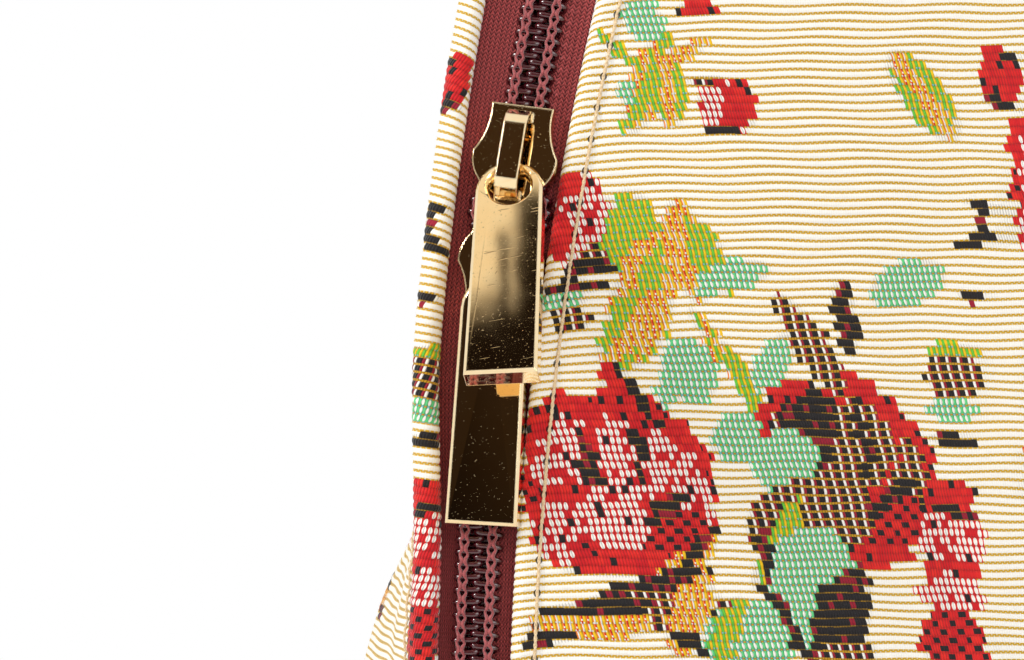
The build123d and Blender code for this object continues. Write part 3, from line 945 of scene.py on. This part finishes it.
def floor_material():
    """A pale floor that keeps the object's shadow near it and goes over to the white of the background."""
    m = Material("floor", roughness=0.7)
    m.shader.inputs["Base Color"].default_value = rgb(244, 243, 240)
    x, y = m.place().split()[:2]
    far = (x.square() + y.square()).math("SQRT").step(*white_floor)
    glow = m.tree.nodes.new("ShaderNodeEmission")
    mix = m.tree.nodes.new("ShaderNodeMixShader")
    sockets = ((far * seen_directly(m.tree)).socket, m.shader.outputs[0], glow.outputs[0])
    for source, target in zip(sockets, mix.inputs):
        m.tree.links.new(source, target)
    m.tree.links.new(mix.outputs[0], m.tree.nodes["Material Output"].inputs["Surface"])
    return m.material


def glowing(name):
    """A new material that only glows: the material, its own coordinates and the socket for its colour."""
    made = bpy.data.materials.new(name)
    made.use_nodes = True
    tree = made.node_tree
    tree.nodes.clear()
    glow = tree.nodes.new("ShaderNodeEmission")
    out = tree.nodes.new("ShaderNodeOutputMaterial")
    tree.links.new(glow.outputs[0], out.inputs["Surface"])
    return made, coordinates(tree, "Generated"), glow.inputs["Color"]


def mirror_material(name, dark, bright):
    """What one polished face reflects: bright at its upper left and round its top, dark elsewhere."""
    made, place, target = glowing(name)
    x, y = place.split()[:2]
    wander = (place.noise(34.0, 2.0) - 0.5) * 0.05
    left = (x + wander * 0.5).step(0.516, 0.500)
    upper = (y + wander).step(0.455, 0.490)
    top = (y + wander * 0.6).step(0.560, 0.582)
    lit = (left * upper + top).most(1.0)
    streak = 1.0 - (x - 0.497 + wander * 0.3).size().step(0.009, 0.002) * y.step(0.545, 0.525)
    made.node_tree.links.new((lit * streak).paint(dark, bright).socket, target)
    return made


def card_material(name, low, high, turn):
    """A reflection card that glows from one colour to another across itself."""
    made, place, target = glowing(name)
    x, y = place.split()[:2]
    share = x * math.cos(turn) + y * math.sin(turn)
    made.node_tree.links.new(share.step(0.1, 0.9).paint(low, high).socket, target)
    return made


# Pieces
def make_panel(side, material, node):
    """A body panel with real ribs where the camera is near, softly waved, and closed by its face."""
    rows = panel_rows(side)
    columns = panel_columns(side)
    t, run = np.meshgrid(rows, columns, indexing="ij")
    points, cloth = skin(side, t, run)
    if side is back:
        cloth[..., 0] += back_cut
    normals = grid_normals(points)
    wave = slack(side, points[..., 0], points[..., 2], run)
    height = points[..., 2]
    close = smooth(height, *rib_low) * (1 - smooth(height, *rib_high)) * (t < 3)
    close = close * (1 - smooth(run, *rib_end)) * smooth(run, -side.under_run, -side.under_run / 2)
    rise = rib_height * (np.abs(np.sin(math.pi * cloth[..., 1] / rib_pitch)) ** 0.7) * close
    seam_run = rim_length(side, rows)[:, None]
    pull_in = 0.5 + 0.5 * np.cos(2 * math.pi * seam_run / stitch_pitch)
    beside = (run - side.stitch_line) / mm
    dent = -(0.10 + 0.22 * pull_in) * mm * np.exp(-((beside / 0.9) ** 2))
    moved = points + normals * (wave + rise + dent)[..., None]
    quads = grid_quads(*run.shape)
    piece = new_mesh(f"{side.name}_cloth", moved, quads, material, side is back)
    set_attribute(piece, "cloth", cloth)
    woven = relief(cloth[..., 0], cloth[..., 1])
    set_attribute(piece, "seam", np.stack([np.broadcast_to(seam_run / mm, run.shape), beside, woven], -1))
    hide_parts(node)


def rim_length(side, t):
    """Distance along a panel's rim from its left foot."""
    fine = np.linspace(0, 6, 12001)
    return np.interp(t, fine, lengths_along(np.stack(contour(side, 0.0 * fine, fine), -1)))


def make_tape(side, material, node):
    """One half of the tape: flat under the coil, dipping beside it and turned in behind the panel's roll."""
    near = coil_half_width - 0.4 * mm
    fold = abs(side.seam[0]) - side.roll
    b = np.array([1.4 * mm, near, near + 0.8 * mm, fold - 0.4 * mm, fold + 0.6 * mm, fold + 1.6 * mm])
    q = np.array([0.28, 0.28, 0.22, 0.16, 0.05, -0.20]) * mm
    thick = 0.55 * mm
    fine = np.linspace(0, 1, 30)
    knots = np.linspace(0, 1, len(b))
    b = np.interp(fine, knots, b)
    q = np.interp(fine, knots, q)
    loop_b = np.concatenate([b, b[::-1]]) * side.sign
    loop_q = np.concatenate([q, q[::-1] - thick])
    run = np.concatenate([np.arange(0, 0.16, 1.5 * mm), np.arange(0.16, zip_run, 3 * mm), [zip_run]])
    grid_run, grid_b = np.meshgrid(run, loop_b, indexing="ij")
    height = zip_point(run, 0 * run, 0 * run)[:, 2]
    narrowed = 1 + side.sign * fold_shift(side, height)[:, None] / (fold - near)
    beyond = np.maximum(np.abs(grid_b) - near, 0)
    moved_b = side.sign * (np.minimum(np.abs(grid_b), near) + beyond * narrowed)
    points = zip_point(grid_run, moved_b, np.broadcast_to(loop_q, grid_b.shape))
    quads = grid_quads(*grid_b.shape, wrap=True)
    piece = new_mesh(f"{side.name}_tape", points, quads, material, side is back)
    set_attribute(piece, "weave", np.stack([grid_run / mm, grid_b / mm, 0 * grid_b], -1))
    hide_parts(node)


coil_pitch = 1.45 * mm
wire_radius = 0.34 * mm
depth_way = np.array([0.0, 1.0, 0.0])
eye_width = 2.3 * mm
eye_half_length = 6.5 * mm


def eye(run):
    """How far each row of the chain stands off its middle where the two sliders' noses meet."""
    share = np.clip(np.abs(run - nose_run) / eye_half_length, 0, 1)
    return eye_width * np.cos(share * math.pi / 2) ** 2


def make_coil(side, material, node):
    """One row of the chain: a flattened nylon spring whose heads reach past the middle line."""
    turns = int(zip_run / coil_pitch) - 1
    samples = 14
    phase = np.arange(turns * samples) * (2 * math.pi / samples)
    start = coil_pitch * (0.75 if side is front else 0.25)
    head = -0.35 * mm
    outer = coil_half_width - wire_radius
    across = (head + outer) / 2 + (outer - head) / 2 * squared(np.cos(phase), 0.55)
    q = tape_top + coil_height / 2 + (coil_height / 2 - wire_radius) * squared(np.sin(phase), 0.7)
    run = start + coil_pitch * phase / (2 * math.pi) + 0.14 * mm * np.cos(phase)
    b = side.sign * (across + eye(run))
    radius = wire_radius * (1 + 0.18 * smooth(-across, -0.5 * mm, 0.2 * mm))
    rings = tube_points(zip_point(run, b, q), arch_at(run)[2], radius, 6)
    piece = tubes(f"{side.name}_coil", [rings], material)
    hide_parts(node)


def make_coil_stitches(side, material):
    """The two strands that bind one row of the chain to its tape, close over each leg and apart between."""
    samples = 8
    count = int((zip_run - 4 * coil_pitch) / coil_pitch * samples)
    run = coil_pitch * 1.5 + np.arange(count) * (coil_pitch / samples)
    offset = 0.25 if side is front else 0.75
    phase = 2 * math.pi * (run / coil_pitch - offset)
    over = 0.5 + 0.5 * np.cos(phase)
    parts = []
    for strand in (-1, 1):
        spread = strand * (0.16 + 0.30 * (1 - over)) * mm
        b = side.sign * (1.62 * mm + eye(run)) + spread
        q = tape_top + coil_height + (0.16 * over - 0.14) * mm
        radius = (0.17 + 0.10 * over) * mm
        parts.append(tube_points(zip_point(run, b, q), depth_way, radius, 5))
    tubes(f"{side.name}_coil_stitches", parts, material)


def seam_points(side, spacing):
    """Points along a panel's line of stitches, the cloth's outward direction and the way on at each."""
    fine = np.linspace(0.02, 5.98, 4000)
    length = rim_length(side, fine)
    along = np.arange(length[0], length[-1], spacing)
    t = np.interp(along, length, fine)
    line = np.full_like(t, side.stitch_line)
    points = skin(side, t, line)[0]
    beyond = skin(side, t, line + 0.6 * mm)[0]
    later = skin(side, t + 1e-4, line)[0]
    normal = unit(np.cross(beyond - points, later - points)) * -side.sign
    points = points + normal * slack(side, points[:, 0], points[:, 2], line)[:, None]
    return points, normal, along, unit(later - points)


def make_top_stitch(side, material):
    """The stitches beside the fold: two twisted plies, drawn into a hole after each stitch."""
    points, normal, along, forward = seam_points(side, stitch_pitch / 14)
    phase = math.pi * along / stitch_pitch
    arch = np.abs(np.sin(phase)) ** 0.45
    sideways = np.cross(normal, forward)
    rings = []
    for ply in (0, math.pi):
        twist = (2 * math.pi * along / (1.5 * mm) + ply)[:, None]
        centre = points + normal * ((0.42 * arch - 0.26) * mm)[:, None]
        centre = centre + (sideways * np.cos(twist) + normal * np.sin(twist)) * 0.09 * mm
        rings.append(tube_points(centre, depth_way, 0.15 * mm, 5))
    tubes(f"{side.name}_top_stitch", rings, material)


def make_end_tab(end, material, node):
    """The folded cloth tab that closes the body below one end of the zip."""
    foot = base_thickness + 0.5 * mm
    start_lean = math.asin((foot - side_centre_z) / side_radius) + 0.004
    lean = np.linspace(start_lean, end_lean - 0.001, 60)
    width = np.linspace(0, 2 * math.pi, 28, endpoint=False)
    grid_lean, turn = np.meshgrid(lean, width, indexing="ij")
    front_reach, back_reach = abs(front_seam[0]) - front_roll, back_seam[0] - back_roll
    half = (front_reach + back_reach) / 2 - 0.4 * mm
    b = (back_reach - front_reach) / 2 + half * squared(np.cos(turn), 0.5)
    q = 0.75 * mm * squared(np.sin(turn), 0.6)
    run = side_radius * (grid_lean - end_lean)
    outward = np.stack([-np.cos(grid_lean), 0 * grid_lean, np.sin(grid_lean)], -1)
    across, normal = zip_ways(outward)
    centre = np.array([side_centre_x, 0, side_centre_z]) + side_radius * outward
    points = (centre + across * b[..., None] + normal * q[..., None]) * np.array([-end, 1, 1])
    piece = tubes(node.replace("zip_", "cloth_"), [points], material)
    closed_run, closed_b = [np.concatenate([rows[:1], rows, rows[-1:]]) for rows in (run, b)]
    lay_cloth(piece, closed_b / mm, closed_run / mm + 40)
    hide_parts(node)


def footprint(count):
    """The outline of the body on its base, all the way round."""
    corners = []
    for side in (front, back):
        share = 1 - (1 - np.linspace(0, 1 - (1 - face_share) ** (1 / corner_power), count)) ** corner_power
        x = contour(side, share, 0.0 * share)[0]
        y = side.edge[1] + side.sign * half_depth * share
        corners.append(np.stack([x, y], -1))
    left_front, left_back = corners
    flank = np.concatenate([left_front[::-1], left_back])
    bottom = np.linspace(0, 1, count)[1:-1, None]
    back_edge = left_back[-1] * (1 - bottom) + left_back[-1] * np.array([-1, 1]) * bottom
    right = flank[::-1] * np.array([-1, 1])
    front_edge = right[-1] * (1 - bottom) + left_front[-1] * bottom
    return np.concatenate([flank, back_edge, right, front_edge])


base_inner = 0.985


def make_base(material):
    """The padded cloth base with its rounded piped edge."""
    outline = footprint(24)
    centre = outline.mean(0)
    rings = [(share * base_inner, 0.0) for share in np.linspace(0, 1, 14)[:-1]]
    for turn in np.linspace(-math.pi / 2, math.pi / 2, 9):
        rings.append((1 - 0.006 + 0.006 * math.cos(turn), base_thickness / 2 * (1 + math.sin(turn))))
    rings += [(share * base_inner, base_thickness) for share in np.linspace(1, 0, 6)[1:]]
    points = np.array([[(x, y, z) for x, y in centre + (outline - centre) * grow] for grow, z in rings])
    quads = grid_quads(*points.shape[:2], wrap=True)
    piece = new_mesh("base_cloth", points, quads, material)
    flat = points.reshape(-1, 3) / mm
    lay_cloth(piece, flat[:, 0], flat[:, 1] + flat[:, 2])
    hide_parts("base_panel")


# Handles
handle_radius = 5.5 * mm
handle_spread = 75 * mm
handle_top_spread = 58 * mm
handle_rise = 225 * mm
handle_bend = 52 * mm
handle_foot_height = 205 * mm
handle_slope = math.radians(16)
patch_width = 26 * mm
patch_height = 62 * mm
patch_below_foot = 10 * mm
patch_skirt = 2.4 * mm
handle_seam_start = 15 * mm
handle_stitch = 4.2 * mm
patch_stitch = 3.4 * mm
stitch_points = 7
stitch_arch = np.sin(np.linspace(0, math.pi, stitch_points))


def handle_line():
    """Points along a handle in its own plane, with rounded corners: across, and up from its feet."""
    side_way = unit(np.array([handle_spread - handle_top_spread, handle_rise]))
    turn = math.pi - math.atan2(side_way[1], side_way[0])
    back_off = handle_bend * math.tan((math.pi - turn) / 2)
    corner = np.array([-handle_top_spread, handle_rise])
    begin = corner - side_way * back_off
    centre = np.array([corner[0] + back_off, handle_rise - handle_bend])
    first = math.atan2(*(begin - centre)[::-1])
    angles = np.linspace(first % (2 * math.pi), math.pi / 2, 26)
    arc = centre + handle_bend * np.stack([np.cos(angles), np.sin(angles)], -1)
    share = np.linspace(0, 1, 34)[:-1, None]
    leg = np.array([-handle_spread, 0]) * (1 - share) + begin * share
    top = np.linspace(0, 1, 12)[1:-1, None]
    across = arc[-1] * (1 - top) + arc[-1] * np.array([-1, 1]) * top
    left = np.concatenate([leg, arc])
    right = left[::-1] * np.array([-1, 1])
    return np.concatenate([left, across, right])


def make_handle(side, material, stitch_material, node):
    """A rolled and padded handle: creased where it bends, with its seam along the underside."""
    line = handle_line()
    low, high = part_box(node)
    depth = [low.y, high.y][side.sign > 0]
    foot_y = depth - side.sign * handle_radius * math.cos(handle_slope)
    path = np.stack([
        line[:, 0],
        foot_y - side.sign * line[:, 1] * math.sin(handle_slope),
        handle_foot_height + line[:, 1] * math.cos(handle_slope),
    ], -1)
    lengths = lengths_along(path)
    along = np.arange(0, lengths[-1], 1.6 * mm)
    path = at_lengths(along, lengths, path)
    facing = np.array([0.0, side.sign * math.cos(handle_slope), math.sin(handle_slope)])
    sides = 28
    rings = tube_points(path, facing, 1.0, sides) - path[:, None]
    turn = np.linspace(0, 2 * math.pi, sides, endpoint=False)
    crease = 0.10 * np.sin(along[:, None] * 310 + 2.0 * np.sin(turn) + np.sin(along[:, None] * 97))
    soft = 0.12 * np.sin(along[:, None] * 63 + turn)
    radius = handle_radius - (0.25 - crease - soft) * mm
    ridge = np.exp(-((np.cos(turn - math.pi) - 1) / 0.02) ** 2) * 0.35 * mm
    end = np.minimum(along, along[-1] - along)
    squeeze = 1 - 0.22 * (1 - smooth(end, 0.0, 0.012))
    points = path[:, None] + rings * ((radius + ridge) * squeeze[:, None])[..., None]
    piece = tubes(f"{side.name}_rolled_handle", [points], material)
    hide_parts(node)
    stitches = []
    for k in range(int((along[-1] - 2 * handle_seam_start) / handle_stitch)):
        middle = handle_seam_start + k * handle_stitch
        span = np.linspace(middle - 1.5 * mm, middle + 1.5 * mm, stitch_points)
        way = at_lengths(span, along, rings[:, sides // 2 - 2])
        lift = handle_radius + (0.22 * stitch_arch - 0.10) * mm
        centre = at_lengths(span, along, path) + way * lift[:, None]
        stitches.append(tube_points(centre, facing, 0.26 * mm, 6))
    tubes(f"{side.name}_handle_stitches", stitches, stitch_material)


def make_patch(side, end, material, stitch_material, node):
    """A padded patch under one handle end: domed, with a sunk line of stitches round it."""
    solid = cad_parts[node].data
    tree = BVHTree.FromPolygons([v.co for v in solid.vertices], [p.vertices for p in solid.polygons])
    middle_x = end * handle_spread
    middle_z = handle_foot_height - patch_below_foot + patch_height / 2
    turn = np.linspace(0, 2 * math.pi, 44, endpoint=False)
    corner_x = squared(np.cos(turn), 0.35) * patch_width / 2
    corner_z = squared(np.sin(turn), 0.35) * patch_height / 2
    shares = np.array([0.02, 0.25, 0.5, 0.7, 0.8, 0.84, 0.87, 0.90, 0.95, 0.975])
    lift = np.array([0.5, 0.5, 0.4, 0.25, 0.10, -0.25, -0.25, 0.10, 0.12, -0.1]) * mm
    rings = []
    for share, up in zip(shares, lift):
        ring = []
        for x, z in zip(middle_x + corner_x * share, middle_z + corner_z * share):
            hit = tree.ray_cast(Vector((x, side.sign * 0.2, z)), Vector((0, -side.sign, 0)))[0]
            ring.append(np.array(hit) + depth_way * side.sign * up)
        rings.append(np.array(ring))
    skirt = rings[-1] - depth_way * side.sign * patch_skirt
    points = np.array([*rings, skirt])
    quads = grid_quads(*points.shape[:2], wrap=True)
    name = f"{side.name}_patch_{'left' if end < 0 else 'right'}_sewn"
    piece = new_mesh(name, points, quads, material, side is front)
    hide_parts(node)
    loop = np.concatenate([rings[5], rings[5][:1]])
    lengths = lengths_along(loop)
    stitches = []
    for k in range(int(lengths[-1] / patch_stitch)):
        span = np.linspace(k * patch_stitch, k * patch_stitch + 2.7 * mm, stitch_points)
        place = at_lengths(span, lengths, loop)
        place[:, 1] += side.sign * (0.30 * stitch_arch - 0.02) * mm
        stitches.append(tube_points(place, depth_way, 0.25 * mm, 6))
    tubes(f"{name}_stitches", stitches, stitch_material)


def round_metal(node, material, width):
    """Gives a cast piece its metal and its rounded edges."""
    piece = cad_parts[node]
    piece.data.materials.clear()
    piece.data.materials.append(material)
    weld = piece.modifiers.new("weld", "WELD")
    weld.merge_threshold = 1e-6
    bevel = piece.modifiers.new("rounding", "BEVEL")
    bevel.width = width
    bevel.segments = 3
    bevel.limit_method = "ANGLE"
    bevel.angle_limit = math.radians(28)
    bevel.harden_normals = True


# View and light
def direction(azimuth, elevation):
    """From the object towards a point at an azimuth and elevation in degrees. Azimuth 0 is in front."""
    a = math.radians(azimuth)
    e = math.radians(elevation)
    return Vector((math.sin(a) * math.cos(e), -math.cos(a) * math.cos(e), math.sin(e)))


def aim_point():
    """The point in the middle of the picture."""
    lean = math.asin((aim_height - side_centre_z) / side_radius)
    on_zip = Vector(zip_point(side_radius * (lean - end_lean), 0.0, 0.0))
    right = Vector((math.cos(view_azimuth), math.sin(view_azimuth), 0))
    across = (frame_width_px / 2 - aim_column_px) / pixels_per_metre
    down = (frame_height_px / 2 - aim_row_px) / pixels_per_metre
    return on_zip + right * across - Vector((0, 0, down))


def make_camera():
    """A camera at the photograph's angle, whose picture's middle is the aim point."""
    data = bpy.data.cameras.new("camera")
    data.sensor_width = sensor_width
    data.lens = sensor_width * view_distance * pixels_per_metre / frame_width_px
    data.clip_start = 0.01
    data.clip_end = 20
    camera = link("camera", data)
    back_way = direction(math.degrees(view_azimuth), math.degrees(view_elevation))
    turned = Quaternion(back_way, view_roll) @ facing_from(back_way)
    stand(camera, aim_point() + back_way * view_distance, turned)
    bpy.context.scene.camera = camera


def facing_from(way):
    """The turn that looks from this direction towards the object."""
    return (-way).to_track_quat("-Z", "Y")


def make_lamp(name, azimuth, elevation, distance, size, power, colour=(1, 1, 1)):
    """A round soft lamp that lights the aim point."""
    lamp = bpy.data.lights.new(name, "AREA")
    lamp.shape = "DISK"
    lamp.size = size
    lamp.energy = power
    lamp.color = colour
    way = direction(azimuth, elevation)
    stand(link(name, lamp), aim_point() + way * distance, facing_from(way))


def make_sheet(name, width, height, material):
    """A flat four-cornered sheet round its own middle."""
    x, y = width / 2, height / 2
    mesh = bpy.data.meshes.new(name)
    mesh.from_pydata([(-x, -y, 0), (x, -y, 0), (x, y, 0), (-x, y, 0)], [], [(0, 1, 2, 3)])
    mesh.materials.append(material)
    return link(name, mesh)


def hang_card(card, location, turned):
    """Puts a card in its place, where only reflections see it."""
    stand(card, location, turned)
    for kind in ("camera", "diffuse", "shadow", "transmission", "volume_scatter"):
        setattr(card, f"visible_{kind}", False)


def make_card(name, azimuth, elevation, distance, width, height, low, high, turn):
    """A card that faces the aim point and goes from one colour to another."""
    card = make_sheet(name, width, height, card_material(name, low, high, turn))
    way = direction(azimuth, elevation)
    hang_card(card, aim_point() + way * distance, facing_from(way))


def make_mirror_card(name, node, face, distance, size, material):
    """A card placed where a flat face reflects it, so that it shows upright and unturned in the face."""
    low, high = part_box(node)
    place = (Vector(low) + Vector(high)) / 2
    camera = bpy.context.scene.camera
    turned = camera.rotation_quaternion.to_matrix()
    normal = Vector(face).normalized()
    sight = (place - camera.location).normalized()
    axes = (sight, turned.col[0], turned.col[1])
    sight, right, up = [axis - 2 * axis.dot(normal) * normal for axis in axes]
    matrix = Matrix((right, up, right.cross(up))).transposed()
    hang_card(make_sheet(name, size, size, material), place + sight * distance, matrix.to_quaternion())


def make_floor():
    """The floor that the bag stands on."""
    make_sheet("floor", floor_size, floor_size, floor_material())


def make_world():
    """White where the camera or a reflection looks past the object, and a plain grey light on it."""
    world = bpy.data.worlds.new("studio")
    bpy.context.scene.world = world
    world.use_nodes = True
    tree = world.node_tree
    ground = tree.nodes["Background"]
    ground.inputs["Color"].default_value = (1, 1, 1, 1)
    tree.links.new(seen_directly(tree).choose(world_light, 1.0).socket, ground.inputs["Strength"])


world_light = 0.55
floor_size = 12.0
white_floor = (420.0, 620.0)
upper_pull_face = (-0.7097, -0.4015, 0.5788)


def main():
    """Makes every piece, then the light and what only reflections see."""
    bpy.context.scene.view_settings.view_transform = "Standard"
    cloth = cloth_material("tapestry")
    tape = tape_material()
    coil = coil_material()
    coil_thread = thread_material("coil_thread", rgb(92, 22, 30), rgb(186, 84, 84), 4.0)
    seam_thread = thread_material("seam_thread", rgb(196, 160, 112), rgb(242, 220, 180), 5.0)
    handle_thread = thread_material("handle_thread", rgb(130, 84, 50), rgb(206, 160, 104), 4.0)
    gold = gold_material("pale_gold", 0.16)
    cast_gold = gold_material("cast_gold", 0.34)
    leather = leather_material()
    for side, node in ((front, "front"), (back, "back")):
        make_panel(side, cloth, f"{node}_panel")
        make_top_stitch(side, seam_thread)
        make_tape(side, tape, f"zip_tape_{node}")
        make_coil(side, coil, f"zip_coil_{node}")
        make_coil_stitches(side, coil_thread)
        make_handle(side, leather, handle_thread, f"{node}_handle")
        for end, way in ((-1, "left"), (1, "right")):
            make_patch(side, end, leather, handle_thread, f"{node}_patch_{way}")
    for end, way in ((-1, "left"), (1, "right")):
        make_end_tab(end, cloth, f"zip_end_tab_{way}")
    make_base(cloth)
    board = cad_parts["base_board"]
    board.data.materials.clear()
    board.data.materials.append(board_material())
    for place in ("upper", "lower"):
        round_metal(f"slider_{place}", cast_gold, 0.12 * mm)
        round_metal(f"pull_{place}", gold, 0.18 * mm)
    make_floor()
    make_world()
    make_camera()
    make_lamp("key", -116, 32, 1.2, 0.32, 9.5, (1.0, 0.98, 0.95))
    make_lamp("fill", -24, 30, 1.6, 1.4, 9.5)
    make_card("dark_front", -69, 14, 0.9, 1.0, 0.62, rgb(20, 14, 10), rgb(60, 44, 30), 1.2)
    make_card("dark_above", -70, 60, 1.1, 0.9, 0.8, rgb(40, 28, 16), rgb(170, 140, 100), 0.6)
    mirrored = mirror_material("pull_mirror", rgb(26, 18, 12), rgb(255, 240, 214))
    make_mirror_card("pull_card", "pull_upper", upper_pull_face, 0.8, 0.36, mirrored)


main()
